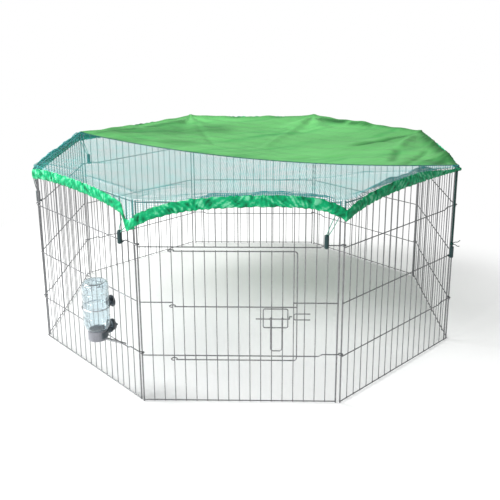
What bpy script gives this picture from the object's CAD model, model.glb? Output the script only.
import math

import bpy
import numpy as np
from bpy.props import FloatProperty, FloatVectorProperty, IntProperty, PointerProperty
from mathutils import Matrix, Vector


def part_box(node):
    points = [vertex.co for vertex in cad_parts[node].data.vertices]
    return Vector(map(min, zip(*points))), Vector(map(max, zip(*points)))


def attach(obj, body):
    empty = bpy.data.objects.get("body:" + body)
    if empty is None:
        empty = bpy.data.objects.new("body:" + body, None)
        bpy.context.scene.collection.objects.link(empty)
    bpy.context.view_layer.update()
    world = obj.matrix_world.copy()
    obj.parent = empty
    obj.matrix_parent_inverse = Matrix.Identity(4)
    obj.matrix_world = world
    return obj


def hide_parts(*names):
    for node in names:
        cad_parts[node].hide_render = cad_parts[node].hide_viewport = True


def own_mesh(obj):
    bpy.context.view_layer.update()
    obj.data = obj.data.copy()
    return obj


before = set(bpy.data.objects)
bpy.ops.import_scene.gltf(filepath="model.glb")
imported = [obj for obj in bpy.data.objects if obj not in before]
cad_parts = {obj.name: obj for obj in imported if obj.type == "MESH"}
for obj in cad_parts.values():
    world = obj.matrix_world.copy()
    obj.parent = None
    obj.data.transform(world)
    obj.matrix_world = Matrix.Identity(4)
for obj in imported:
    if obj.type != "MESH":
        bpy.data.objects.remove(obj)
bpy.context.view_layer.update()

bl_info = {
    "name": "Outdoor Rabbit Run",
    "version": (1, 0, 0),
    "blender": (4, 5, 0),
    "location": "View3D > Sidebar > Rabbit Run",
    "description": "Dresses the packed eight-panel wire run: cover, hem, ties, bottle, wire finish and studio",
    "category": "Object",
}

# ---------- the run's own sizes, in metres ----------

SIDES = 8
SIDE_TURN = 45.0                                # degrees from one panel to the next
PANEL_W = 0.57
APOTHEM = PANEL_W / 2 / math.tan(math.pi / SIDES)
CORNER_R = APOTHEM / math.cos(math.pi / SIDES)
RAIL_Z = 0.605
RAIL_TOP = RAIL_Z + 0.0016
HEM_Y = -0.0085
HOOK_Y = -0.01095
SHADE_THICK = 0.0008
HEM_LAP = 0.004                                 # how far the cloth reaches down behind the hem's upper edge
NET_EDGE = APOTHEM - 0.0012                     # how far out the net's threads run on the flat
SHADED = (2, 3, 4, 5)
NETTED = (6, 7, 0, 1)
SEAM_BEARING = {1: -22.5, 6: 157.5}             # degrees, of the two ends of the seam, by the panel that carries them
SEAM_COS, SEAM_SIN = math.cos(math.radians(-22.5)), math.sin(math.radians(-22.5))

# how far the hem's lower edge hangs below the top rail: mid-side, at each corner,
# and how far the corners' pull reaches to both sides
SIDE_DROP = (0.008, 0.004, 0.018, 0.024, 0.025, 0.026, 0.026, 0.022)
CORNER_DROP = (0.068, 0.052, 0.008, 0.024, 0.024, 0.024, 0.026, 0.038)
REACH_RIGHT = (0.110, 0.110, 0.060, 0.060, 0.060, 0.060, 0.070, 0.080)
REACH_LEFT = (0.090, 0.055, 0.060, 0.060, 0.060, 0.060, 0.070, 0.060)
TONGUE_PANEL, TONGUE_X, TONGUE_DROP = 7, 0.530, 0.036        # the hem's loose tongue
TONGUE_BEFORE, TONGUE_AFTER = 0.013, 0.032

# by corner: how far in from the corner its tie meets the hem, and how far its hook is from the corner
TIE_INSET = (0.048, 0.022, 0.0, 0.009, 0.009, 0.009, 0.009, 0.009)
HOOK_INSET = (0.070, 0.0495, 0.021, 0.038, 0.038, 0.038, 0.038, 0.038)
TIE_LAP = 0.004                                 # how far a tie reaches up behind the hem
DARK_CORNER, KNOTTED_CORNER, KNOT_X = 7, 2, 0.549
KNOT_TAILS = (((0.001, -0.001, 0.001), (0.007, -0.008, 0.006), (0.013, -0.013, 0.006), (0.018, -0.019, 0.012)),
              ((0.001, -0.001, -0.002), (0.005, -0.009, -0.002), (0.010, -0.015, -0.007), (0.012, -0.021, -0.006)))

# where the net is drawn together, as lines on the ground plan with a half width
NET_FOLDS = (
    ((-0.311, -0.562), (-0.174, -0.456), 0.0050), ((-0.295, -0.600), (-0.160, -0.492), 0.0040),
    ((-0.504, -0.384), (-0.408, -0.482), 0.0055), ((-0.408, -0.482), (-0.300, -0.600), 0.0055),
    ((-0.469, -0.422), (-0.300, -0.610), 0.0040), ((-0.531, -0.203), (-0.419, -0.156), 0.0045),
    ((0.105, -0.366), (0.267, -0.345), 0.0040), ((0.267, -0.345), (0.402, -0.297), 0.0040),
    ((-0.673, -0.262), (-0.517, -0.331), 0.0055), ((-0.262, -0.640), (-0.020, -0.575), 0.0045),
    ((-0.020, -0.575), (0.168, -0.560), 0.0040), ((0.600, -0.330), (0.330, -0.290), 0.0050),
)

# where the shade is creased: a line on the ground plan, its half width, its height, and how dark it looks
SHADE_FOLDS = (
    ((0.661, 0.284), (0.400, 0.155), 0.014, -0.0075, 0.75),
    ((0.649, 0.262), (0.560, 0.060), 0.016, 0.0060, 0.10),
    ((0.560, 0.060), (0.505, -0.140), 0.018, -0.0055, 0.45),
    ((0.654, -0.003), (0.571, -0.150), 0.014, -0.0050, 0.50),
    ((0.571, -0.150), (0.490, -0.250), 0.015, -0.0045, 0.40),
    ((0.644, -0.134), (0.513, -0.275), 0.012, 0.0045, 0.00),
    ((0.296, 0.640), (0.420, 0.525), 0.030, 0.0060, 0.95),
    ((0.420, 0.525), (0.520, 0.440), 0.022, 0.0040, 0.85),
    ((-0.640, 0.290), (-0.470, 0.440), 0.026, 0.0050, 0.80),
    ((-0.470, 0.440), (-0.290, 0.610), 0.028, 0.0050, 0.70),
    ((-0.650, 0.330), (-0.050, 0.520), 0.100, 0.0000, 0.60),
    ((-0.600, 0.230), (-0.200, 0.250), 0.045, 0.0000, 0.45),
    ((-0.578, 0.301), (-0.327, 0.198), 0.020, 0.0050, 0.00),
    ((-0.263, 0.121), (0.120, -0.020), 0.020, -0.0040, 0.25),
    ((0.120, -0.020), (0.422, 0.039), 0.018, -0.0040, 0.20),
    ((-0.287, 0.368), (0.051, 0.303), 0.016, 0.0035, 0.00),
    ((-0.259, 0.620), (-0.137, 0.219), 0.016, -0.0030, 0.15),
    ((0.262, 0.650), (0.052, 0.179), 0.020, 0.0040, 0.05),
    ((0.680, 0.240), (0.690, -0.170), 0.030, 0.0000, 1.00),
    ((0.690, -0.130), (0.630, -0.255), 0.030, -0.0020, 0.90),
    ((-0.610, 0.240), (-0.300, 0.090), 0.012, -0.0035, 0.30),
    ((-0.100, 0.560), (0.150, 0.520), 0.016, -0.0030, 0.20),
)

# the creases that run out of the corners: corner, size, reach, count and phase
SHADE_CORNERS = ((3, 0.0060, 0.30, 9.0, 0.6), (4, 0.0055, 0.26, 9.0, 2.1), (5, 0.0045, 0.26, 8.0, 0.2),
                 (6, 0.0050, 0.30, 9.0, 1.0), (2, 0.0045, 0.26, 8.0, 2.6))
NET_CORNERS = ((0, 0.0045, 0.30, 7.0, 0.4), (1, 0.0035, 0.25, 6.0, 1.7))

# where the net is rolled up: panel, height, start, and how far both ends take to fade
NET_ROLLS = {0: (0.011, 0.12, 0.12, 0.06), 1: (0.015, 0.0, 0.08, 0.22), 6: (0.008, 0.0, 0.05, 0.10)}

# the grid of a gore: points across it, rows in to the middle, and rows behind the hem's edge and round the rail
GORE_COLS, GORE_ROWS, EDGE_ROWS, RIM_ROWS = 97, 71, 5, 8

X_AXIS, Y_AXIS, Z_AXIS = Vector((1.0, 0.0, 0.0)), Vector((0.0, 1.0, 0.0)), Vector((0.0, 0.0, 1.0))
LINE_BEARINGS = (-math.radians(112.5) - math.pi / 2, -math.radians(67.5) + math.pi / 2)     # a gore's two sides
WHITE = (1.0, 1.0, 1.0)
BRAID_TURNS = 12.566                            # two waves round a cord


class RabbitRunSizes(bpy.types.PropertyGroup):
    """Sizes that a maker of the cover would change"""
    cover_sag: FloatProperty(name="Cover sag", description="How far the cover's middle hangs below its rim",
                             default=0.037, min=0.005, max=0.09, unit="LENGTH")
    hem_height: FloatProperty(name="Hem height", description="Height of the ruffled band round the cover",
                              default=0.033, min=0.02, max=0.05, unit="LENGTH")
    hem_ruffle: FloatProperty(name="Ruffle", description="How far the hem's creases stand out",
                              default=0.0022, min=0.0, max=0.005, unit="LENGTH")
    net_pitch: FloatProperty(name="Net pitch", description="Distance between two threads of the net",
                             default=0.006, min=0.003, max=0.02, unit="LENGTH")
    net_cover: FloatProperty(name="Net thread share", description="Thread width as a share of the pitch",
                             default=0.17, min=0.05, max=0.5, subtype="FACTOR")
    strand: FloatProperty(name="Elastic strand", description="Diameter of the elastic cords",
                          default=0.0024, min=0.001, max=0.005, unit="LENGTH")
    turns: IntProperty(name="Facets round the bottle", description="Sides of the bottle's rings",
                       default=72, min=24, max=144)


class RabbitRunColours(bpy.types.PropertyGroup):
    """Colours of the run's materials"""
    shade: FloatVectorProperty(name="Shade", description="Sun shade cloth", subtype="COLOR",
                               default=(0.150, 0.545, 0.165), min=0.0, max=1.0)
    hem: FloatVectorProperty(name="Hem", description="Satin hem", subtype="COLOR",
                             default=(0.006, 0.560, 0.215), min=0.0, max=1.0)
    net: FloatVectorProperty(name="Net", description="Net and seam tape", subtype="COLOR",
                             default=(0.045, 0.420, 0.400), min=0.0, max=1.0)
    elastic: FloatVectorProperty(name="Elastic", description="Corner cords", subtype="COLOR",
                                 default=(0.200, 0.640, 0.470), min=0.0, max=1.0)
    hooks: FloatVectorProperty(name="Hooks", description="Plastic hooks of the cover", subtype="COLOR",
                               default=(0.016, 0.085, 0.090), min=0.0, max=1.0)
    wire: FloatVectorProperty(name="Wire", description="Galvanised wire", subtype="COLOR",
                              default=(0.270, 0.272, 0.282), min=0.0, max=1.0)
    cap: FloatVectorProperty(name="Cap", description="Screw cap of the bottle", subtype="COLOR",
                             default=(0.360, 0.370, 0.410), min=0.0, max=1.0)
    bracket: FloatVectorProperty(name="Bracket", description="Bracket of the bottle", subtype="COLOR",
                                 default=(0.120, 0.150, 0.170), min=0.0, max=1.0)
    floor: FloatVectorProperty(name="Floor", description="Studio floor", subtype="COLOR",
                               default=(0.860, 0.860, 0.860), min=0.0, max=1.0)


def sizes():
    return bpy.context.scene.rabbit_run_sizes


def colours():
    return bpy.context.scene.rabbit_run_colours


# ---------- finishes ----------

class Signal:
    """A shader value. Python's operators on it add Math nodes."""

    def __init__(self, finish, socket):
        self.finish = finish
        self.socket = socket

    def _math(self, operation, *values):
        return self.finish.node("ShaderNodeMath", {"operation": operation}, dict(enumerate(values)))

    def __add__(self, other):
        return self._math("ADD", self, other)

    __radd__ = __add__

    def __sub__(self, other):
        return self._math("SUBTRACT", self, other)

    def __rsub__(self, other):
        return self._math("SUBTRACT", other, self)

    def __mul__(self, other):
        return self._math("MULTIPLY", self, other)

    __rmul__ = __mul__

    def __truediv__(self, other):
        return self._math("DIVIDE", self, other)

    def __rtruediv__(self, other):
        return self._math("DIVIDE", other, self)

    def __gt__(self, other):
        return self._math("GREATER_THAN", self, other)

    def __lt__(self, other):
        return self._math("LESS_THAN", self, other)

    def __abs__(self):
        return self._math("ABSOLUTE", self)

    def part(self):
        """The part behind the decimal point."""
        return self._math("FRACT", self)

    def most(self, other):
        return self._math("MAXIMUM", self, other)

    def wave(self):
        return self._math("SINE", self)


class Finish:
    """A material, or the world, in the making."""

    def __init__(self, name, world=False):
        self.block = bpy.data.worlds.new(name) if world else bpy.data.materials.new(name)
        self.last = "ShaderNodeOutputWorld" if world else "ShaderNodeOutputMaterial"
        self.block.use_nodes = True
        self.tree = self.block.node_tree
        self.tree.nodes.clear()

    def node(self, kind, settings=None, values=None, output=0):
        """Adds a node, sets its settings, then its sockets, and gives back one of its outputs, if it has any."""
        made = self.tree.nodes.new(kind)
        for name, value in (settings or {}).items():
            setattr(made, name, value)
        for key, value in (values or {}).items():
            socket = made.inputs[key]
            if isinstance(value, Signal):
                self.tree.links.new(value.socket, socket)
            elif hasattr(socket.default_value, "__len__") and len(socket.default_value) == 4 and len(value) == 3:
                socket.default_value = (*value, 1.0)
            else:
                socket.default_value = value
        return Signal(self, made.outputs[output]) if made.outputs else None

    def place(self):
        return self.node("ShaderNodeTexCoord", output="Object")

    def cloth(self):
        """The piece's own cloth coordinates."""
        return self.node("ShaderNodeUVMap", {"uv_map": "cloth"})

    def mark(self, name):
        """What the mesh says of each of its points under this name."""
        return self.node("ShaderNodeAttribute", {"attribute_name": name}, output="Fac")

    def rays(self, first, *others):
        """1 for the kinds of ray that are named, 0 for the others."""
        seen = self.node("ShaderNodeLightPath", output=f"Is {first} Ray")
        for other in others:
            seen = seen.most(self.node("ShaderNodeLightPath", output=f"Is {other} Ray"))
        return seen

    def axis(self, vector, name):
        return self.node("ShaderNodeSeparateXYZ", values={0: vector}, output=name)

    def noise(self, vector, scale, detail=3.0, roughness=0.55):
        return self.node("ShaderNodeTexNoise", values={
            "Vector": vector, "Scale": scale, "Detail": detail, "Roughness": roughness}, output="Fac")

    def stretched(self, vector, scale, turn=0.0):
        """The vector turned about Z, then scaled."""
        turned = self.node("ShaderNodeMapping", {"vector_type": "POINT"},
                           {"Vector": vector, "Rotation": (0.0, 0.0, turn)})
        return self.node("ShaderNodeMapping", {"vector_type": "POINT"}, {"Vector": turned, "Scale": scale})

    def between(self, low, high, factor):
        """A colour between two."""
        return self.node("ShaderNodeMix", {"data_type": "RGBA", "clamp_factor": True},
                         {0: factor, 6: low, 7: high}, output=2)

    def ramp(self, value, low, high, to_low=0.0, to_high=1.0):
        return self.node("ShaderNodeMapRange", {"clamp": True}, {
            "Value": value, "From Min": low, "From Max": high, "To Min": to_low, "To Max": to_high})

    def bump(self, height, depth, strength=1.0):
        return self.node("ShaderNodeBump", values={"Height": height, "Distance": depth, "Strength": strength})

    def surface(self, **values):
        """Ends the material in a Principled shader. The names are its sockets', with _ for a space."""
        return self.end(self.node("ShaderNodeBsdfPrincipled", values={
            name.replace("_", " "): value for name, value in values.items()}))

    def end(self, shader):
        """Ends the nodes in a shader, and gives back what they make."""
        self.node(self.last, values={"Surface": shader})
        return self.block


def darker(colour, share):
    """The colour times a share, which may also be over 1."""
    return tuple(c * share for c in colour)


def paler(colour, share, lift):
    return tuple(min(1.0, c * share + lift) for c in colour)


def galvanised_wire():
    """Zinc with a fine spangle, duller in streaks."""
    finish = Finish("galvanised_wire")
    place = finish.place()
    spangle = finish.noise(place, 260.0, 2.0)
    run = finish.noise(finish.stretched(place, (30.0, 30.0, 6.0)), 1.0, 3.0)
    wire = colours().wire
    base = finish.between(darker(wire, 0.72), darker(wire, 1.18), finish.ramp(spangle, 0.35, 0.68))
    dull = finish.between(base, darker(wire, 0.62), finish.ramp(run, 0.55, 0.8, 0.0, 0.6))
    return finish.surface(Base_Color=dull, Metallic=0.85,
                          Roughness=finish.ramp(spangle, 0.3, 0.7, 0.26, 0.42),
                          Normal=finish.bump(spangle, 0.00008))


def shade_cloth():
    """Closely woven polyester: a fine weave, long soft creases and a faint sheen."""
    finish = Finish("shade_cloth")
    place = finish.place()
    threads = 3600.0                            # radians to the metre: a thread every 1.7 mm
    weave = (finish.axis(place, "X") * threads).wave() * (finish.axis(place, "Y") * threads).wave()
    long_creases = finish.noise(finish.stretched(place, (1.6, 9.0, 4.0), -0.39), 1.0, 4.0, 0.62)
    small_creases = finish.noise(finish.stretched(place, (9.0, 34.0, 20.0), -0.30), 1.0, 5.0, 0.6)
    patches = finish.noise(place, 2.2, 2.0)
    cloth, in_crease, tucked = colours().shade, (0.035, 0.330, 0.080), (0.004, 0.110, 0.018)
    base = finish.between(darker(cloth, 0.84), darker(cloth, 1.14), finish.ramp(patches, 0.3, 0.7))
    base = finish.between(base, paler(cloth, 1.35, 0.03), finish.ramp(small_creases, 0.62, 0.78, 0.0, 0.45))
    base = finish.between(base, in_crease, finish.ramp(long_creases, 0.49, 0.32, 0.0, 0.7))
    base = finish.between(base, tucked, finish.mark("shadow") * finish.ramp(small_creases, 0.3, 0.6, 0.60, 1.0))
    height = long_creases * 3.0 + small_creases * 0.8 + weave * 0.02
    return finish.surface(Base_Color=base, Roughness=finish.ramp(small_creases, 0.3, 0.7, 0.62, 0.5),
                          Normal=finish.bump(height, 0.005, 0.9), Sheen_Weight=0.05, Sheen_Roughness=0.4,
                          Specular_IOR_Level=0.20)


def hem_satin():
    """Crumpled satin: bright on the crests of its creases and dark in them."""
    finish = Finish("hem_satin")
    place = finish.place()
    crumple = finish.noise(place, 48.0, 4.0, 0.62)
    small = finish.noise(place, 130.0, 3.0, 0.6)
    cloth, gleam = tuple(colours().hem), (0.24, 0.86, 0.50)
    lie = finish.mark("crest") * 0.40 + crumple * 0.85 + small * 0.20
    base = finish.between(darker(cloth, 0.22), cloth, finish.ramp(lie, 0.46, 0.76))
    base = finish.between(base, gleam, finish.ramp(lie, 0.78, 0.92, 0.0, 0.95))
    return finish.surface(Base_Color=base, Roughness=finish.ramp(small, 0.3, 0.7, 0.52, 0.38),
                          Normal=finish.bump(crumple * 2.0 + small, 0.0022, 0.9), Specular_IOR_Level=0.20)


def thread_net(name, see_through):
    """Knitted net. On the film the threads are drawn by its Alpha, from cloth coordinates in metres."""
    finish = Finish(name)
    tint = finish.noise(finish.place(), 14.0, 4.0)
    thread, bunched = colours().net, (0.030, 0.340, 0.370)
    base = finish.between(darker(thread, 0.75), darker(thread, 1.30), finish.ramp(tint, 0.3, 0.7))
    if not see_through:
        return finish.surface(Base_Color=base, Roughness=0.6)
    gathered = finish.mark("gathered")
    width = sizes().net_cover * finish.ramp(tint, 0.3, 0.7, 0.60, 1.40) + gathered * 0.16
    warp, weft = (abs((finish.axis(finish.cloth(), axis) / sizes().net_pitch).part() - 0.5) > 0.5 - width * 0.5
                  for axis in "XY")
    return finish.surface(Base_Color=finish.between(base, bunched, gathered), Roughness=0.6,
                          Alpha=warp.most(weft))


def binding_tape():
    """Dark ribbed tape."""
    finish = Finish("binding_tape")
    ribs = finish.noise(finish.stretched(finish.place(), (900.0, 260.0, 400.0), -0.39), 1.0, 2.0)
    tape = darker(colours().net, 0.30)
    return finish.surface(Base_Color=finish.between(darker(tape, 0.6), darker(tape, 1.3), ribs), Roughness=0.7,
                          Normal=finish.bump(ribs, 0.0006))


def braid(name, low, high, rough):
    """Braided elastic: two slanting waves that cross."""
    finish = Finish(name)
    cloth = finish.cloth()
    along, around = finish.axis(cloth, "X") * 2600.0, finish.axis(cloth, "Y") * BRAID_TURNS
    strands = (along + around).wave() * (along - around).wave()
    return finish.surface(Base_Color=finish.between(low, high, finish.ramp(strands, -0.6, 0.6)),
                          Roughness=rough, Normal=finish.bump(strands, 0.0003))


def moulded(name, colour, rough):
    """Moulded plastic: a faint grain, and duller and paler where hands wear it."""
    finish = Finish(name)
    place = finish.place()
    skin = finish.noise(place, 900.0, 2.0)
    wear = finish.noise(place, 55.0, 4.0)
    base = finish.between(darker(colour, 0.88), paler(colour, 1.12, 0.01), finish.ramp(wear, 0.35, 0.7))
    return finish.surface(Base_Color=base, Roughness=finish.ramp(wear, 0.3, 0.7, rough, rough + 0.12),
                          Normal=finish.bump(skin, 0.00012, 0.6))


def clear_plastic():
    """Thin clear plastic with a slight haze."""
    finish = Finish("clear_bottle")
    haze = finish.noise(finish.place(), 40.0, 3.0)
    return finish.surface(Base_Color=finish.between((0.78, 0.88, 0.92), (0.90, 0.95, 0.97), haze),
                          Roughness=finish.ramp(haze, 0.3, 0.8, 0.03, 0.09), Transmission_Weight=0.96, IOR=1.45)


def tube_steel():
    """Drawn steel with marks along it."""
    finish = Finish("tube_steel")
    drawn = finish.noise(finish.stretched(finish.place(), (400.0, 30.0, 30.0)), 1.0, 3.0)
    return finish.surface(Base_Color=finish.between((0.52, 0.53, 0.55), (0.70, 0.71, 0.73), drawn), Metallic=1.0,
                          Roughness=finish.ramp(drawn, 0.3, 0.7, 0.16, 0.28))


def studio_floor():
    """Pale floor that keeps the run's shadow and goes over into the white background."""
    finish = Finish("studio_floor")
    place = finish.place()
    pale, matt = colours().floor, {"Roughness": 0.9, "Specular IOR Level": 0.0}
    across, along = abs(finish.axis(place, "X")), abs(finish.axis(place, "Y"))
    out = across.most(along).most((across + along) * math.sqrt(0.5))
    lift = finish.ramp(out, APOTHEM - 0.008, APOTHEM + 0.008, 0.13, 0.38)
    away = finish.ramp(out, APOTHEM + 0.10, APOTHEM + 0.90)
    base = finish.between(darker(pale, 0.99), darker(pale, 1.01), finish.noise(place, 5.0, 4.0))
    plain = finish.node("ShaderNodeBsdfPrincipled", values={"Base Color": darker(pale, 0.5), **matt})
    lifted = finish.node("ShaderNodeBsdfPrincipled", values={
        "Base Color": base, "Emission Strength": 1.0,
        "Emission Color": finish.between((0.0, 0.0, 0.0), WHITE, lift), **matt})
    white = finish.node("ShaderNodeEmission", values={"Color": WHITE, "Strength": 1.0})
    lifted = finish.node("ShaderNodeMixShader", values={0: away, 1: lifted, 2: white})
    seen = finish.rays("Camera", "Glossy", "Transmission")
    return finish.end(finish.node("ShaderNodeMixShader", values={0: seen, 1: plain, 2: lifted}))


# ---------- shapes ----------

def deselect():
    bpy.ops.object.select_all(action="DESELECT")


def plan_of(panel, x, y):
    """A panel's own place (along it, inwards) on the ground plan."""
    angle = math.radians(SIDE_TURN * panel)
    u, v = x - PANEL_W / 2, y - APOTHEM
    return u * math.cos(angle) - v * math.sin(angle), u * math.sin(angle) + v * math.cos(angle)


def turn_to(panel, x, y, z):
    """A point of a panel (along it, inwards, up) in the run's frame."""
    return Vector((*plan_of(panel, x, y), z))


def plan_to_panel(px, py):
    """(panel, place along it, depth inside it) of points on the ground plan."""
    angle = np.degrees(np.arctan2(py, px)) + 90.0
    panel = np.round(angle / SIDE_TURN).astype(int) % SIDES
    turn = np.radians(SIDE_TURN * panel)
    y = APOTHEM - (px * np.sin(turn) - py * np.cos(turn))
    x = PANEL_W / 2 + px * np.cos(turn) + py * np.sin(turn)
    return panel, x, y


def inward(panel):
    angle = math.radians(SIDE_TURN * panel)
    return Vector((-math.sin(angle), math.cos(angle), 0.0))


def body_name(panel):
    return "front" if panel == 0 else f"panel_{panel + 1}"


def along_panel(y, share):
    """Places at shares of a panel's width, which lessens with the depth y."""
    lean = y * PANEL_W / 2 / APOTHEM
    return lean + (PANEL_W - 2 * lean) * share


def mesh_piece(name, points, faces, material, smooth=True):
    """An object made of points and faces."""
    mesh = bpy.data.meshes.new(name)
    mesh.from_pydata([tuple(p) for p in points], [], faces)
    mesh.validate()
    piece = bpy.data.objects.new(name, mesh)
    bpy.context.scene.collection.objects.link(piece)
    mesh.materials.append(material)
    if smooth:
        mesh.shade_smooth()
    return piece


def fold_with(piece, panel):
    """The piece moves with its panel, and gathers against it as the ring folds."""
    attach(piece, body_name(panel))
    tuple(turn_to(panel, PANEL_W / 2, 0.0, RAIL_Z))
    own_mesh(piece)


def write_marks(mesh, name, values):
    """Writes a value at each point of a mesh, for its material to read."""
    marks = mesh.attributes.new(name, "FLOAT", "POINT")
    marks.data.foreach_set("value", np.asarray(values, dtype=np.float32))


def write_cloth(mesh, coordinates):
    """Writes the cloth coordinates of a mesh's points."""
    layer = mesh.uv_layers.new(name="cloth")
    for loop in mesh.loops:
        layer.data[loop.index].uv = coordinates[loop.vertex_index]


def tube_faces(rings, around, start=0):
    """The faces of a tube of rings of points, closed at both ends."""
    faces = []
    for i in range(rings - 1):
        for j in range(around):
            a, b = start + i * around + j, start + i * around + (j + 1) % around
            faces.append((a, b, b + around, a + around))
    last = start + (rings - 1) * around
    return faces + [tuple(range(start + around - 1, start - 1, -1)), tuple(range(last, last + around))]


def edit_all(piece):
    """Opens a piece in edit mode with all of it selected."""
    deselect()
    piece.select_set(True)
    bpy.context.view_layer.objects.active = piece
    bpy.ops.object.mode_set(mode="EDIT")
    bpy.ops.mesh.select_all(action="SELECT")


def dress(node, material):
    """Gives a CAD node its finish."""
    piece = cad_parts[node]
    if not piece.material_slots:
        piece.data.materials.append(material)
    for slot in piece.material_slots:
        slot.material = material


def swept(name, path, radius, material, sides):
    """A round strand along points, with cloth coordinates: metres along it, and turns round it."""
    points, coordinates = [], []
    path = [Vector(p) for p in path]
    side = Z_AXIS.cross(path[1] - path[0])
    if side.length < 1e-6:
        side = X_AXIS
    length = 0.0
    for i, point in enumerate(path):
        before, after = path[max(i - 1, 0)], path[min(i + 1, len(path) - 1)]
        along = (after - before).normalized()
        side = (side - along * side.dot(along)).normalized()
        up = along.cross(side)
        length += (point - before).length
        r = radius[i] if isinstance(radius, list) else radius
        for j in range(sides):
            angle = 2 * math.pi * j / sides
            points.append(point + side * math.cos(angle) * r + up * math.sin(angle) * r)
            coordinates.append((length, j / sides))
    piece = mesh_piece(name, points, tube_faces(len(path), sides), material)
    write_cloth(piece.data, coordinates)
    return piece


def smooth_path(marks, count):
    """A curve through the marks, with count points between two of them."""
    marks = [Vector(m) for m in marks]
    ends = [marks[0] * 2 - marks[1]] + marks + [marks[-1] * 2 - marks[-2]]
    path = []
    for i in range(1, len(ends) - 2):
        a, b, c, d = ends[i - 1:i + 3]
        for j in range(count):
            t = j / count
            path.append(0.5 * (2 * b + (c - a) * t + (2 * a - 5 * b + 4 * c - d) * t * t
                               + (3 * b - a - 3 * c + d) * t ** 3))
    path.append(marks[-1])
    return path


def join(name, pieces):
    """Makes one object of several, the first."""
    deselect()
    for piece in pieces:
        piece.select_set(True)
    joined = bpy.context.view_layer.objects.active = pieces[0]
    bpy.ops.object.join()
    joined.name = joined.data.name = name
    return joined


def turned(name, profile, centre, material, sides):
    """A round piece: a circle, extruded and resized ring by ring along (radius, height), then closed."""
    least = 1e-5
    r, z = profile[0]
    deselect()
    bpy.ops.mesh.primitive_circle_add(vertices=sides, radius=r, location=(*centre, z))
    piece = bpy.context.object
    bpy.ops.object.transform_apply(location=True, rotation=False, scale=False)
    edit_all(piece)
    for next_r, next_z in profile[1:]:
        next_r = max(next_r, least)
        bpy.ops.mesh.extrude_region_move(TRANSFORM_OT_translate={"value": (0.0, 0.0, next_z - z)})
        if next_r != r:
            bpy.ops.transform.resize(value=(next_r / r, next_r / r, 1.0), center_override=(*centre, next_z))
        r, z = next_r, next_z
    bpy.ops.mesh.select_all(action="SELECT")
    bpy.ops.mesh.remove_doubles(threshold=least * 2.5)
    bpy.ops.mesh.select_all(action="DESELECT")
    bpy.ops.mesh.select_non_manifold(extend=False, use_wire=False, use_boundary=True, use_multi_face=False,
                                     use_non_contiguous=False, use_verts=False)
    bpy.ops.mesh.bridge_edge_loops()
    bpy.ops.mesh.select_all(action="SELECT")
    bpy.ops.mesh.normals_make_consistent(inside=False)
    bpy.ops.object.mode_set(mode="OBJECT")
    piece.name = piece.data.name = name
    piece.data.materials.append(material)
    bpy.ops.object.shade_smooth_by_angle(angle=math.radians(35))
    return piece


# ---------- the cover ----------

def ease(t):
    """0 below 0, 1 above 1, smooth between."""
    t = np.clip(t, 0.0, 1.0)
    return t * t * (3 - 2 * t)


def hem_drop(panel, x):
    """How far below the rail the hem's lower edge is."""
    right = (panel + 1) % SIDES
    side = SIDE_DROP[panel]
    drop = (side + (CORNER_DROP[panel] - side) * np.exp(-x / REACH_RIGHT[panel])
            + (CORNER_DROP[right] - side) * np.exp(-(PANEL_W - x) / REACH_LEFT[right]))
    if panel == TONGUE_PANEL:
        reach = np.where(x < TONGUE_X, TONGUE_BEFORE, TONGUE_AFTER)
        drop = drop + TONGUE_DROP * np.exp(-((x - TONGUE_X) / reach) ** 2)
    return drop


def hem_height(panel, x):
    """The band narrows where the shade's corner is pulled over it."""
    narrowed = 0.0 * x
    if panel == 1:
        narrowed = 0.68 * ease((x - 0.32) / 0.22)
    elif panel == 2:
        narrowed = 0.68 * ease((0.16 - x) / 0.16)
    return sizes().hem_height * (1.0 - narrowed)


def hem_top(panel, x):
    return RAIL_Z - hem_drop(panel, x) + hem_height(panel, x)


def net_roll(panel, x):
    """How far the net is rolled up over the hem's upper edge."""
    if panel not in NET_ROLLS:
        return x * 0.0
    height, start, left, right = NET_ROLLS[panel]
    uneven = 0.75 + 0.17 * np.sin(x * 38 + panel) + 0.08 * np.sin(x * 97 + 2 * panel)
    return height * uneven * ease((x - start) / left) * ease((PANEL_W - x) / right)


def taut_height(px, py):
    """The cover's height without its folds: highest over the corners' posts, lowest in the middle."""
    return RAIL_TOP + 0.001 + sizes().cover_sag * ((px ** 2 + py ** 2) / APOTHEM ** 2 - 1)


def corner_creases(px, py, corner, size, reach, count, phase):
    """Folds that run out of a corner and die away."""
    angle = math.radians(SIDE_TURN * (corner - 2.5))
    dx, dy = px - CORNER_R * math.cos(angle), py - CORNER_R * math.sin(angle)
    far = np.hypot(dx, dy)
    bearing = np.arctan2(dy, dx) - (angle + math.pi)
    bearing = (bearing + math.pi) % (2 * math.pi) - math.pi
    return (size * np.cos(bearing * count + phase) * np.exp(-bearing ** 4)
            * (1 - np.exp(-far / 0.06)) * np.exp(-(far / reach) ** 2))


def line_mark(px, py, a, b, width):
    """1 on the line from a to b, falling to 0 beside it."""
    ax, ay = a
    dx, dy = b[0] - ax, b[1] - ay
    t = np.clip(((px - ax) * dx + (py - ay) * dy) / (dx * dx + dy * dy), 0, 1)
    off = np.hypot(px - ax - t * dx, py - ay - t * dy)
    return np.exp(-(off / width) ** 2) * np.clip(np.minimum(t, 1 - t) * 6 + 0.25, 0, 1)


def along_seam(px, py):
    """(place along the seam, distance from it) of points on the ground plan."""
    return px * SEAM_COS + py * SEAM_SIN, py * SEAM_COS - px * SEAM_SIN


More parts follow.
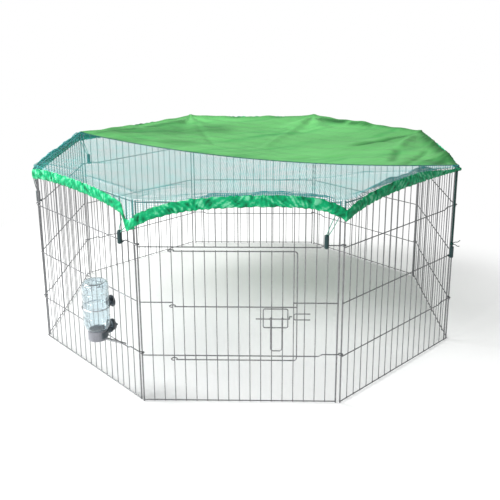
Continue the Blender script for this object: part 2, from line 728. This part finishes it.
def shade_folds(px, py):
    """Long waves beside the seam, finer ones across them, and the creases read from the photograph."""
    along, over = along_seam(px, py)
    z = 0.0026 * np.sin(over * 21 + 1.1 * np.sin(along * 4.1 + 0.5)) * np.exp(-((along + 0.05) / 0.6) ** 2)
    z += 0.0014 * np.sin(over * 52 + 1.6 * np.sin(along * 6.3) + 2.0) * np.sin(along * 2.3 + 0.4) ** 2
    z += 0.0009 * np.sin(over * 96 + along * 13 + 2.2 * np.sin(along * 9.0))
    for crease in SHADE_CORNERS:
        z += corner_creases(px, py, *crease)
    for *line, height, _ in SHADE_FOLDS:
        z += height * line_mark(px, py, *line)
    return z


def shade_shadow(px, py):
    """How dark the creases and the tucked edges look."""
    panel, _, y = plan_to_panel(px, py)
    mark = np.where(panel == 2, 0.95, 0.40) * np.exp(-(y / 0.018) ** 2)
    for a, b, width, _, dark in SHADE_FOLDS:
        mark = np.maximum(mark, dark * line_mark(px, py, a, b, width * 0.9))
    return mark


def net_folds(px, py):
    """The net's slack waves and the folds where it is drawn together."""
    z = 0.0015 * np.sin(px * 17 + 1.0) * np.sin(py * 13)
    for a, b, width in NET_FOLDS:
        z += 0.0035 * line_mark(px, py, a, b, width * 2.0)
    for crease in NET_CORNERS:
        z += corner_creases(px, py, *crease)
    return z


def net_gathers(px, py):
    """1 where the net is drawn together, 0 where it lies open."""
    mark = 0.0 * px
    for line in NET_FOLDS:
        mark = np.maximum(mark, line_mark(px, py, *line))
    return mark


def rim_wave(panel, x):
    """The shade's edge stands up unevenly, most at the back corners' posts."""
    if panel not in SHADED:
        return x * 0.0
    arch = np.sin(np.pi * np.clip(x / PANEL_W, 0, 1))
    wave = (0.0030 * np.sin(x * 26 + panel * 2.1) + 0.0018 * np.sin(x * 63 + panel * 5.0)) * arch
    if panel in (3, 4):
        wave = wave + 0.0040 * (np.exp(-(x / 0.016) ** 2) + np.exp(-((PANEL_W - x) / 0.016) ** 2))
    if panel == 3:
        wave = wave + 0.0070 * arch
    return wave + 0.0020


def rim_fade(y):
    """0 at the rim, 1 well inside."""
    return 1 - np.exp(-(y / 0.03) ** 2)


def cover_height(px, py, shaded):
    """Height of the whole cover's middle surface, the same on both sides of every dividing line."""
    panel, x, y = plan_to_panel(px, py)
    y = np.maximum(y, 0.0)
    folds = shade_folds(px, py) if shaded else net_folds(px, py)
    off_seam = along_seam(px, py)[1]            # the two cloths share one height on their seam
    z = taut_height(px, py) + folds * rim_fade(y) * (1 - np.exp(-(off_seam / 0.035) ** 2))
    rise = np.zeros_like(z)
    for k in range(SIDES):
        here = panel == k
        along = np.clip(x[here], 0, PANEL_W)
        lip = hem_top(k, along) + net_roll(k, along) + rim_wave(k, along) - RAIL_TOP - HEM_LAP
        rise[here] = np.maximum(lip, 0.0) * np.exp(-(y[here] / 0.024) ** 2)
    return z + rise * np.clip((APOTHEM - y) / 0.06, 0, 1)


def crown_height(panel, x, shaded):
    """Height of the cloth where it turns over the rail."""
    return cover_height(*plan_of(panel, x, 0.0008), shaded)


def gore(panel, shaded):
    """A panel's piece of the cover: from behind the hem's upper edge, over the rail and in to the middle.

    Gives its points, faces, normals, and rows of (along, inwards, up)."""
    share = np.linspace(0, 1, GORE_COLS)
    grow = np.linspace(0, 1, GORE_ROWS)[1:-1]
    rows = []
    for step in range(EDGE_ROWS):
        y = -0.0062 + 0.0004 * step
        x = along_panel(y, share)
        inner = np.clip(x, 0, PANEL_W)
        start = hem_top(panel, inner) - HEM_LAP
        crown = np.maximum(start + 0.002, crown_height(panel, inner, shaded)) + net_roll(panel, inner) * 0.35
        rows.append((x, x * 0 + y, start + (crown - start) * step / (EDGE_ROWS - 1)))
    for y, above in ((-0.0032, 0.0012), (-0.0012, 0.0016)):
        x = along_panel(y, share)
        rows.append((x, x * 0 + y, crown_height(panel, np.clip(x, 0, PANEL_W), shaded) + above))
    for y in (0.0012, *(APOTHEM * (0.35 * grow + 0.65 * grow ** 2.2))):
        x = along_panel(y, share)
        rows.append((x, x * 0 + y, cover_height(*plan_of(panel, x, y), shaded)))
    points = [turn_to(panel, *p) for row in rows for p in zip(*row)]
    near_middle = np.array([1e-4])
    tip = len(points)
    points.append(Vector((0.0, 0.0, cover_height(near_middle, near_middle, shaded)[0])))
    faces = [(a, a + 1, a + 1 + GORE_COLS, a + GORE_COLS)
             for r in range(len(rows) - 1) for a in range(r * GORE_COLS, (r + 1) * GORE_COLS - 1)]
    faces += [(a, a + 1, tip) for a in range(tip - GORE_COLS, tip - 1)]
    return points, faces, gore_normals(panel, points, shaded), rows


def gore_normals(panel, points, shaded):
    """Normals that don't show the dividing lines between two gores."""
    fine = 0.003
    px, py = np.array([(p.x, p.y) for p in points]).T
    dx = cover_height(px + fine, py, shaded) - cover_height(px - fine, py, shaded)
    dy = cover_height(px, py + fine, shaded) - cover_height(px, py - fine, shaded)
    normals = np.stack([-dx / (2 * fine), -dy / (2 * fine), np.ones(len(points))], axis=1)
    normals /= np.linalg.norm(normals, axis=1)[:, None]
    out = np.array(tuple(-inward(panel)))
    edge = EDGE_ROWS * GORE_COLS
    normals[:edge] = out
    normals[edge:edge + GORE_COLS] = (out + np.array((0, 0, 1.0))) / math.sqrt(2)
    return normals


def sheet_piece(name, points, faces, normals, material, thick=0.0):
    """A cloth with two sides and closed edges, or with one side where thick is 0."""
    if thick:
        count = len(points)
        lower = [p - Vector(n) * thick for p, n in zip(points, normals)]
        edges = dict.fromkeys(edge for face in faces for edge in zip(face, face[1:] + face[:1]))
        walls = [(b, a, a + count, b + count) for a, b in edges if (b, a) not in edges]
        faces = faces + [tuple(i + count for i in reversed(face)) for face in faces] + walls
        points = points + lower
        normals = np.concatenate([normals, -normals])
    piece = mesh_piece(name, points, faces, material)
    piece.data.normals_split_custom_set_from_vertices([tuple(n) for n in normals])
    return piece


def shade_gore(panel, material):
    """A panel's piece of the sun shade, with two sides."""
    *sheet, _ = gore(panel, True)
    piece = sheet_piece(f"shade_cloth_{panel + 1}", *sheet, material, SHADE_THICK)
    px, py = np.array([tuple(v.co.xy) for v in piece.data.vertices]).T
    write_marks(piece.data, "shadow", shade_shadow(px, py))
    fold_with(piece, panel)
    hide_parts(f"shade_{panel + 1}")


def net_gore(panel, film_material, thread_material, tape_material):
    """A panel's piece of the net: a film, every second thread, and its side of the seam's binding."""
    points, faces, normals, rows = gore(panel, False)
    piece = sheet_piece(f"net_film_{panel + 1}", points, faces, normals, film_material)
    cloth = np.array([(p.x, p.y) for p in points])
    gathered = net_gathers(*cloth.T)
    out = np.array((-inward(panel)).xy)
    for r, (x, y, z) in enumerate(rows):
        here = slice(r * GORE_COLS, (r + 1) * GORE_COLS)
        inner = np.clip(x, 0, PANEL_W)
        down = crown_height(panel, inner, False) - z
        near = np.exp(-(np.maximum(y - 0.004, 0) / 0.014) ** 2) * np.exp(-(down / 0.016) ** 2)
        roll = 0.85 * np.clip(net_roll(panel, inner) / 0.008, 0, 1)
        corner = 0.35 * np.exp(-(np.minimum(inner, PANEL_W - inner) / 0.05))
        gathered[here] = np.maximum(gathered[here], near * np.maximum(roll, corner))
        if r < RIM_ROWS:
            cloth[here] += np.outer(down, out)
    write_marks(piece.data, "gathered", gathered)
    write_cloth(piece.data, cloth)
    threads = net_threads(panel, thread_material)
    for part in (piece, threads):
        fold_with(part, panel)
    if panel in SEAM_BEARING:
        seam_tape(panel, tape_material)
    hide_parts(f"net_{panel + 1}")


def net_threads(panel, material):
    """Every second thread of the net as a real strand, square to the front panel all over the ring."""
    pitch = sizes().net_pitch * 2
    half = 0.00035
    reach = int(APOTHEM * 1.1 / pitch) + 1
    turn = math.radians(SIDE_TURN * panel)
    out = -inward(panel)
    left, right = (Vector((math.cos(turn + a), math.sin(turn + a), 0.0)) for a in LINE_BEARINGS)
    limits = ((out, NET_EDGE), (left, 0.0), (right, 0.0))       # a thread stays where normal . point <= bound
    points, faces = [], []
    for direction, apart in ((Y_AXIS, X_AXIS), (X_AXIS, Y_AXIS)):
        for i in range(-reach, reach + 1):
            origin = apart * (i * pitch)
            low, high = thread_span(origin, direction, limits)
            if high - low < 0.004:
                continue
            t = np.linspace(low, high, max(1, int((high - low) / 0.012)) + 1)
            px, py = origin.x + direction.x * t, origin.y + direction.y * t
            path = [Vector(p) for p in zip(px, py, cover_height(px, py, False) + 0.0002)]
            for end in (0, -1):
                if abs(out.dot(path[end]) - NET_EDGE) < 1e-5:
                    outer = thread_end(panel, path[end])
                    path = outer[::-1] + path if end == 0 else path + outer
            faces += tube_faces(len(path), 4, len(points))
            for j, p in enumerate(path):
                along = (path[min(j + 1, len(path) - 1)] - path[max(j - 1, 0)]).normalized()
                beside = Z_AXIS.cross(along)
                beside = beside.normalized() if beside.length > 0.05 else Vector((out.y, -out.x, 0.0))
                up = along.cross(beside).normalized()
                points += [p + beside * half, p + up * half, p - beside * half, p - up * half]
    return mesh_piece(f"net_threads_{panel + 1}", points, faces, material)


def thread_span(origin, direction, limits):
    """From where to where a straight thread stays inside its gore's limits."""
    low, high = -1.0, 1.0
    for normal, bound in limits:
        slope = normal.dot(direction)
        base = bound - normal.dot(origin)
        if abs(slope) < 1e-9:
            if base < 0:
                return 1.0, -1.0
        elif slope > 0:
            high = min(high, base / slope)
        else:
            low = max(low, base / slope)
    return low, high


def thread_end(panel, edge):
    """The way of a thread from the net's edge over the rail and down behind the hem."""
    turn = math.radians(SIDE_TURN * panel)
    x = float(np.clip(PANEL_W / 2 + (edge.x * math.cos(turn) + edge.y * math.sin(turn)), 0, PANEL_W))
    start = float(hem_top(panel, x)) - HEM_LAP
    return [turn_to(panel, x, -0.0035, edge.z + 0.0008),
            turn_to(panel, x, -0.0060, min(edge.z - 0.002, start + 0.02)),
            turn_to(panel, x, -0.0064, start)]


def hem_crease(slant, s, seed):
    """How far the satin stands out, from -1 to 1, at a place along the band and a share s of its height."""
    coarse = math.sin(slant * 230 + 2.9 * math.sin(slant * 47 + seed) + 2.3 * math.sin(s * 4 + slant * 29))
    fine = math.sin(slant * 410 + 3.1 * math.sin(slant * 71 + seed * 2) - s * 5.1)
    broad = math.sin(slant * 95 + seed + 6 * s)
    return (0.8 * coarse + 0.7 * fine + 0.6 * broad) / 2.1


def hem_band(panel, material):
    """The ruffled casing of a panel's side: a flat tube of satin with slanting creases, drawn up by its elastic."""
    cols, around = 300, 22
    depth = sizes().hem_ruffle
    seed = panel * 7.3
    points, crests = [], []
    for c in range(cols + 1):
        t = c / cols
        x_mid = t * PANEL_W
        height = float(hem_height(panel, x_mid))
        middle = float(hem_top(panel, x_mid)) - height / 2
        fade = min(1.0, min(t, 1 - t) * 24)
        swell = 0.55 + 0.45 * math.sin(x_mid * 23 + seed) * math.sin(x_mid * 61 + seed * 3)
        for j in range(around):
            angle = 2 * math.pi * j / around
            up, outside = math.sin(angle), max(0.0, -math.cos(angle))
            s = (up + 1) / 2
            slant = x_mid + 0.030 * (s - 0.5) * math.sin(x_mid * 19 + seed)
            crease = hem_crease(slant, s, seed)
            y = HEM_Y + (-0.0034 * outside if outside else 0.0013 * math.cos(angle)) + 0.0004
            y -= depth * crease * outside ** 0.5 * (0.35 + 0.65 * fade) * swell
            z = middle + up * height / 2 * (1 + 0.05 * math.sin(slant * 130 + seed))
            z += 0.0010 * math.sin(slant * 290 + seed * 3) * abs(up) ** 3 * fade
            points.append(turn_to(panel, along_panel(y, t), min(y, -0.0066), z))
            crests.append(0.5 + 0.5 * crease if outside > 0 else 0.35)
    faces = []
    for c in range(cols):
        for j in range(around):
            a, b = c * around + j, c * around + (j + 1) % around
            faces.append((a, a + around, b + around, b))
    faces.append(tuple(range(around)))
    faces.append(tuple(range(cols * around + around - 1, cols * around - 1, -1)))
    piece = mesh_piece(f"hem_band_{panel + 1}", points, faces, material)
    write_marks(piece.data, "crest", crests)
    fold_with(piece, panel)
    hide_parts(f"hem_{panel + 1}")
    share = float(np.mean(hem_height(panel, np.linspace(0, PANEL_W, 40)))) / sizes().hem_height


def seam_tape(panel, material):
    """The dark binding on the seam between the shade and the net."""
    bearing = math.radians(SEAM_BEARING[panel])
    out = Vector((math.cos(bearing), math.sin(bearing), 0.0))
    beside = Vector((-out.y, out.x, 0.0))
    start, end = 0.0015, CORNER_R - 0.004
    width, thick, above, steps = 0.0065, 0.0010, 0.0004, 120
    points, faces = [], []
    for i in range(steps + 1):
        r = start + (end - start) * i / steps
        z = float(cover_height(np.array([out.x * r]), np.array([out.y * r]), True)[0])
        z += above + 0.0004 * math.sin(i * 1.7)
        for s in (-1, 1):
            p = out * r + beside * (width / 2 * s)
            points += [Vector((p.x, p.y, z)), Vector((p.x, p.y, z + thick))]
    for i in range(steps):
        a = i * 4
        faces += [(a + 1, a + 5, a + 7, a + 3), (a, a + 2, a + 6, a + 4), (a, a + 4, a + 5, a + 1),
                  (a + 2, a + 3, a + 7, a + 6)]
    faces += [(0, 1, 3, 2), (steps * 4, steps * 4 + 2, steps * 4 + 3, steps * 4 + 1)]
    piece = mesh_piece(f"seam_binding_{panel + 1}", points, faces, material, smooth=False)
    edit_all(piece)
    bpy.ops.mesh.normals_make_consistent(inside=False)
    bpy.ops.object.mode_set(mode="OBJECT")
    fold_with(piece, panel)
    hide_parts(f"seam_tape_{panel + 1}")
    return piece


# ---------- ties ----------

def corner_tie(corner, material):
    """Two strands of elastic from inside the hook up to the hem's corner, where they meet in a loop."""
    panel = (corner + 7) % SIDES
    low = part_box(f"cord_{corner + 1}")[0]
    strands = []
    for side in (-1, 1):
        foot = turn_to(panel, PANEL_W - HOOK_INSET[corner] + side * 0.0022, HOOK_Y, low[2])
        end_x = PANEL_W - TIE_INSET[corner] + side * 0.005
        end = turn_to(panel, end_x, HOOK_Y, RAIL_Z - float(hem_drop(panel, end_x)) + TIE_LAP)
        bow_x = PANEL_W - (HOOK_INSET[corner] + TIE_INSET[corner]) / 2 + side * 0.0048
        bow = turn_to(panel, bow_x, HOOK_Y - 0.0006, (foot.z + end.z) / 2)
        strands.append(swept(f"strand_{corner}_{side}", smooth_path([foot, bow, end], 14), sizes().strand / 2,
                             material, 10))
    piece = join(f"elastic_tie_{corner + 1}", strands)
    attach(piece, body_name(panel))
    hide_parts(f"cord_{corner + 1}")


def knotted_tie(material):
    """The right corner's tie: a doubled cord down beside the post, knotted above its hook, with two loose ends."""
    panel, tie_y = 1, HOOK_Y + 0.001
    low, high = (corner[2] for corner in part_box("cord_3"))
    knot_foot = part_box("corner_knot")[0][2]
    knot_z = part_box("hook_3")[1][2] + 0.008

    def at(x, y, z):
        return turn_to(panel, KNOT_X + x, tie_y + y, z)

    strands = []
    for side in (-1, 1):
        marks = [at(side * 0.002, 0.0, low), at(side * 0.0030, -0.0006, low * 0.7 + high * 0.3),
                 at(side * 0.0022, 0.0004, low * 0.35 + high * 0.65), at(side * 0.003, 0.0, high + 0.003)]
        strands.append(swept(f"strand_{KNOTTED_CORNER}_{side}", smooth_path(marks, 14), 0.0017, material, 10))
    tie = join("elastic_tie_3", strands)
    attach(tie, body_name(panel))
    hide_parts("cord_3")
    coil_r, coil_high, coil_turns, steps = 0.0042, 0.009, 2.5, 60
    coil = []
    for i in range(steps + 1):
        angle = 2 * math.pi * coil_turns * i / steps
        coil.append(at(coil_r * math.cos(angle), coil_r * math.sin(angle),
                       knot_z + coil_high * (i / steps - 0.5) + 0.0012 * math.sin(angle * 2)))
    core = [at(0.0, 0.0, knot_foot + (knot_z + 0.006 - knot_foot) * i / 8) for i in range(9)]
    parts = [swept("knot_turns", coil, 0.0016, material, 8), swept("knot_core", core, 0.0019, material, 8)]
    for marks in KNOT_TAILS:
        path = smooth_path([at(a, b, knot_z + c) for a, b, c in marks], 8)
        parts.append(swept("knot_tail", path, [0.0012] * (len(path) - 3) + [0.0016] * 3, material, 8))
    knot = join("tie_knot", parts)
    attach(knot, body_name(panel))
    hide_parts("corner_knot")


# ---------- the bottle ----------

def bottle_shell(material):
    """The upturned bottle: neck, shoulder, a body with four grooves, and a hollowed base."""
    low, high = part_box("water_bottle")
    centre = ((low[0] + high[0]) / 2, (low[1] + high[1]) / 2)
    neck_low, top = low[2], high[2]
    neck_r, base_r = 0.023, (high[0] - low[0]) / 2
    shoulder, shoulder_high, wall = 0.195, 0.020, 0.0016
    outer = [(neck_r, neck_low), (neck_r, shoulder)]
    for degrees in range(10, 91, 10):
        angle = math.radians(degrees)
        outer.append((neck_r + (base_r - neck_r) * math.sin(angle), shoulder + shoulder_high * (1 - math.cos(angle))))
    for groove in (0.024, 0.048, 0.072, 0.096):
        outer += [(base_r - deep, shoulder + shoulder_high + groove + z) for deep, z in
                  ((0.0, -0.004), (0.0006, -0.0022), (0.0016, 0.0), (0.0006, 0.0022), (0.0, 0.004))]
    outer += [(base_r, top - 0.012), (base_r - 0.0012, top - 0.006), (base_r - 0.004, top - 0.002),
              (base_r - 0.008, top), (base_r * 0.55, top - 0.0015), (base_r * 0.30, top - 0.006)]
    inner = [(r - wall, z - (0.004 if z > top - 0.007 else 0.0)) for r, z in reversed(outer)]
    inner[-1] = (neck_r - wall, neck_low)
    middle = [(0.0, top - 0.008), (0.0, top - 0.012)]
    shell = turned("clear_bottle", outer + middle + inner, centre, material, sizes().turns)
    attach(shell, "bottle")
    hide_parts("water_bottle")


# ---------- studio ----------

SENSOR = 36.0                                   # millimetres
FOCAL_PIXELS, PHOTO_PIXELS = 705.660, 500.0


def photo_camera():
    """The photograph's own view: from right of the front's middle, 14 degrees down, its lens shifted a little."""
    azimuth, elevation, roll = math.radians(1.5357), math.radians(14.4396), math.radians(-0.2781)
    back = Vector((math.sin(azimuth) * math.cos(elevation), -math.cos(azimuth) * math.cos(elevation),
                   math.sin(elevation)))
    flat = Z_AXIS.cross(back).normalized()
    steep = back.cross(flat)
    right = flat * math.cos(roll) + steep * math.sin(roll)
    up = steep * math.cos(roll) - flat * math.sin(roll)
    data = bpy.data.cameras.new("photo_camera")
    data.sensor_width = data.sensor_height = SENSOR
    data.sensor_fit = "HORIZONTAL"
    data.lens = FOCAL_PIXELS * SENSOR / PHOTO_PIXELS
    data.shift_y = -0.140
    data.clip_end = 60.0
    camera = bpy.data.objects.new("photo_camera", data)
    bpy.context.scene.collection.objects.link(camera)
    matrix = Matrix((right, up, back)).transposed().to_4x4()
    matrix.translation = Vector((0.076380, -2.519362, 1.138808))
    camera.matrix_world = matrix
    bpy.context.scene.camera = camera


def lamp(name, place, size, power):
    """A soft rectangular lamp that shines on the run's middle."""
    data = bpy.data.lights.new(name, "AREA")
    data.shape = "RECTANGLE"
    data.size, data.size_y = size
    data.energy = power
    piece = bpy.data.objects.new(name, data)
    bpy.context.scene.collection.objects.link(piece)
    piece.location = place
    piece.rotation_euler = (Vector((0.0, 0.0, 0.3)) - Vector(place)).to_track_quat("-Z", "Y").to_euler()


def studio_world():
    """Soft light from all round that looks white to the camera."""
    finish = Finish("studio", world=True)
    soft, white = (finish.node("ShaderNodeBackground", values={"Color": WHITE, "Strength": strength})
                   for strength in (0.35, 1.0))
    seen = finish.rays("Camera", "Transmission")
    bpy.context.scene.world = finish.end(
        finish.node("ShaderNodeMixShader", values={0: seen, 1: soft, 2: white}))


# ---------- operators ----------

class RABBITRUN_OT_stage(bpy.types.Operator):
    """Adds the pale floor, the soft lamps and the camera"""
    bl_idname = "rabbit_run.stage"
    bl_label = "Studio"

    def execute(self, context):
        context.scene.view_settings.view_transform = "Standard"
        photo_camera()
        deselect()
        bpy.ops.mesh.primitive_plane_add(size=24.0, location=(0.0, 0.0, -0.0005))
        floor = context.object
        bpy.ops.object.transform_apply(location=True, rotation=False, scale=False)
        floor.name = "studio_floor"
        floor.data.materials.append(studio_floor())
        lamp("key_lamp", (-3.4, 0.9, 3.9), (2.4, 1.9), 245.0)
        lamp("front_lamp", (-2.5, -2.9, 1.7), (1.8, 1.6), 92.0)
        studio_world()
        return {"FINISHED"}


class RABBITRUN_OT_wire(bpy.types.Operator):
    """Gives the panels, the door and its latch their galvanised finish"""
    bl_idname = "rabbit_run.wire"
    bl_label = "Wire Panels and Door"

    def execute(self, context):
        wire = galvanised_wire()
        for number in range(1, SIDES + 1):
            dress(f"panel_{number}", wire)
        for node in ("door", "latch_guide", "latch_keeper", "latch_rod", "latch_handle"):
            dress(node, wire)
        return {"FINISHED"}


class RABBITRUN_OT_fittings(bpy.types.Operator):
    """Gives the hooks, the bottle's cap, bracket, clip and tube their finishes"""
    bl_idname = "rabbit_run.fittings"
    bl_label = "Hooks and Fittings"

    def execute(self, context):
        hook = moulded("hook_plastic", darker(colours().hooks, 0.6), 0.35)
        bracket = moulded("bracket_plastic", colours().bracket, 0.42)
        clip = moulded("clip_plastic", (0.060, 0.080, 0.095), 0.40)
        cap = moulded("cap_plastic", colours().cap, 0.38)
        steel = tube_steel()
        for number in range(1, SIDES + 1):
            dress(f"hook_{number}", hook)
        for node, finish in (("cap_bracket", bracket), ("bracket_nut", bracket), ("ring_clip", clip),
                             ("bottle_cap", cap), ("drinking_tube", steel), ("tube_ball", steel),
                             ("bottle_ring", steel)):
            dress(node, finish)
        return {"FINISHED"}


class RABBITRUN_OT_shade(bpy.types.Operator):
    """Makes the sun shade's four gores"""
    bl_idname = "rabbit_run.shade"
    bl_label = "Sun Shade"

    def execute(self, context):
        cloth = shade_cloth()
        for panel in SHADED:
            shade_gore(panel, cloth)
        return {"FINISHED"}


class RABBITRUN_OT_net(bpy.types.Operator):
    """Makes the net's four gores, their threads and the binding on the seam"""
    bl_idname = "rabbit_run.net"
    bl_label = "Net"

    def execute(self, context):
        film = thread_net("net_film", True)
        threads = thread_net("net_threads", False)
        tape = binding_tape()
        for panel in NETTED:
            net_gore(panel, film, threads, tape)
        return {"FINISHED"}


class RABBITRUN_OT_hem(bpy.types.Operator):
    """Makes the ruffled hem"""
    bl_idname = "rabbit_run.hem"
    bl_label = "Hem"

    def execute(self, context):
        satin = hem_satin()
        for panel in range(SIDES):
            hem_band(panel, satin)
        return {"FINISHED"}


class RABBITRUN_OT_ties(bpy.types.Operator):
    """Makes the elastic ties of the eight corners and the knot of the right one"""
    bl_idname = "rabbit_run.ties"
    bl_label = "Corner Ties"

    def execute(self, context):
        cord = colours().elastic
        elastic = braid("elastic_braid", darker(cord, 0.5), darker(cord, 1.15), 0.6)
        dark = braid("dark_braid", (0.004, 0.035, 0.03), (0.016, 0.13, 0.105), 0.62)
        for corner in range(SIDES):
            if corner != KNOTTED_CORNER:
                corner_tie(corner, dark if corner == DARK_CORNER else elastic)
        knotted_tie(dark)
        return {"FINISHED"}


class RABBITRUN_OT_bottle(bpy.types.Operator):
    """Makes the clear water bottle"""
    bl_idname = "rabbit_run.bottle"
    bl_label = "Water Bottle"

    def execute(self, context):
        bottle_shell(clear_plastic())
        return {"FINISHED"}


class RABBITRUN_PT_panel(bpy.types.Panel):
    """Lists the run's pieces"""
    bl_idname = "RABBITRUN_PT_panel"
    bl_label = "Rabbit Run"
    bl_space_type = "VIEW_3D"
    bl_region_type = "UI"
    bl_category = "Rabbit Run"

    def draw(self, context):
        for group in (context.scene.rabbit_run_sizes, context.scene.rabbit_run_colours):
            box = self.layout.box()
            for name in group.__annotations__:
                box.prop(group, name)
        for operator in OPERATORS:
            self.layout.operator(operator.bl_idname)


OPERATORS = (RABBITRUN_OT_stage, RABBITRUN_OT_wire, RABBITRUN_OT_fittings, RABBITRUN_OT_shade, RABBITRUN_OT_net,
             RABBITRUN_OT_hem, RABBITRUN_OT_ties, RABBITRUN_OT_bottle)
CLASSES = (RabbitRunSizes, RabbitRunColours) + OPERATORS + (RABBITRUN_PT_panel,)


def register():
    for one in CLASSES:
        bpy.utils.register_class(one)
    bpy.types.Scene.rabbit_run_sizes = PointerProperty(type=RabbitRunSizes)
    bpy.types.Scene.rabbit_run_colours = PointerProperty(type=RabbitRunColours)


def unregister():
    del bpy.types.Scene.rabbit_run_colours
    del bpy.types.Scene.rabbit_run_sizes
    for one in reversed(CLASSES):
        bpy.utils.unregister_class(one)


def main():
    register()
    bpy.ops.rabbit_run.stage()
    bpy.ops.rabbit_run.wire()
    bpy.ops.rabbit_run.fittings()
    bpy.ops.rabbit_run.shade()
    bpy.ops.rabbit_run.net()
    bpy.ops.rabbit_run.hem()
    bpy.ops.rabbit_run.ties()
    bpy.ops.rabbit_run.bottle()


if __name__ == "__main__":
    main()
